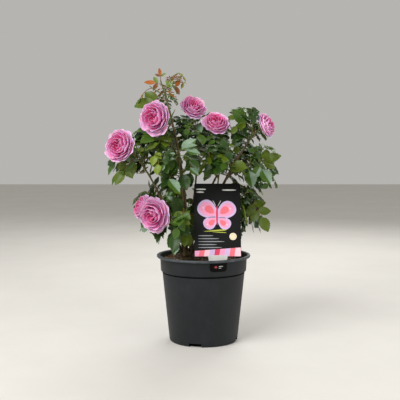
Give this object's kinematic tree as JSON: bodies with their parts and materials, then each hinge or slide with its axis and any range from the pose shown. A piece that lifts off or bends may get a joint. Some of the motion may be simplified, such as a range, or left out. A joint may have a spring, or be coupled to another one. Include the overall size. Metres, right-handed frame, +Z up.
{
  "type": "rose bush",
  "caption": "Potted rose bush: arching canes with compound leaves and full pink blooms in a tapered plastic nursery pot with a leaning label card.",
  "frame": {"origin": "centre of the pot's flat underside", "axes": "+Z up along the pot's axis, -Y towards the front with the label card, +X to the viewer's right"},
  "size_m": [0.4179, 0.2909, 0.6512],
  "materials": {
    "pot_plastic": "moulded charcoal plastic with a fine grain",
    "compost": "crumbly brown compost with bark",
    "label_plastic": null,
    "tab_plastic": "satin black plastic",
    "bark": "green-brown cane with prickles",
    "foliage": "satin dark green leaves, paler under",
    "young_foliage": "bronze-red young leaves",
    "petals": "soft pink petals, deeper at the heart"
  },
  "bodies": {
    "root": {"pot": "pot_plastic", "compost": "compost", "label_card": "label_plastic", "rim_tab": "tab_plastic", "crown": "bark", "bough_left": "bark", "bough_centre": "bark", "bough_front": "bark", "bough_right": "bark", "bough_back_right": "bark", "bough_back_left": "bark", "bough_middle": "bark", "bough_upper_left": "bark", "bough_low_left": "bark", "bough_low_front": "bark", "bough_right_side": "bark", "bough_low_right": "bark", "bough_front_right": "bark", "bough_back": "bark", "bough_low_back": "bark", "bough_low_back_left": "bark", "mass_left": "foliage", "mass_centre": "foliage", "mass_front": "foliage", "mass_right": "foliage", "mass_back_right": "foliage", "mass_back_left": "foliage", "mass_middle": "foliage", "mass_upper_left": "foliage", "mass_low_left": "foliage", "mass_low_front": "foliage", "mass_right_side": "foliage", "mass_low_right": "foliage", "mass_front_right": "foliage", "mass_back": "foliage", "mass_low_back": "foliage", "mass_low_back_left": "foliage"}
  },
  "joints": []
}
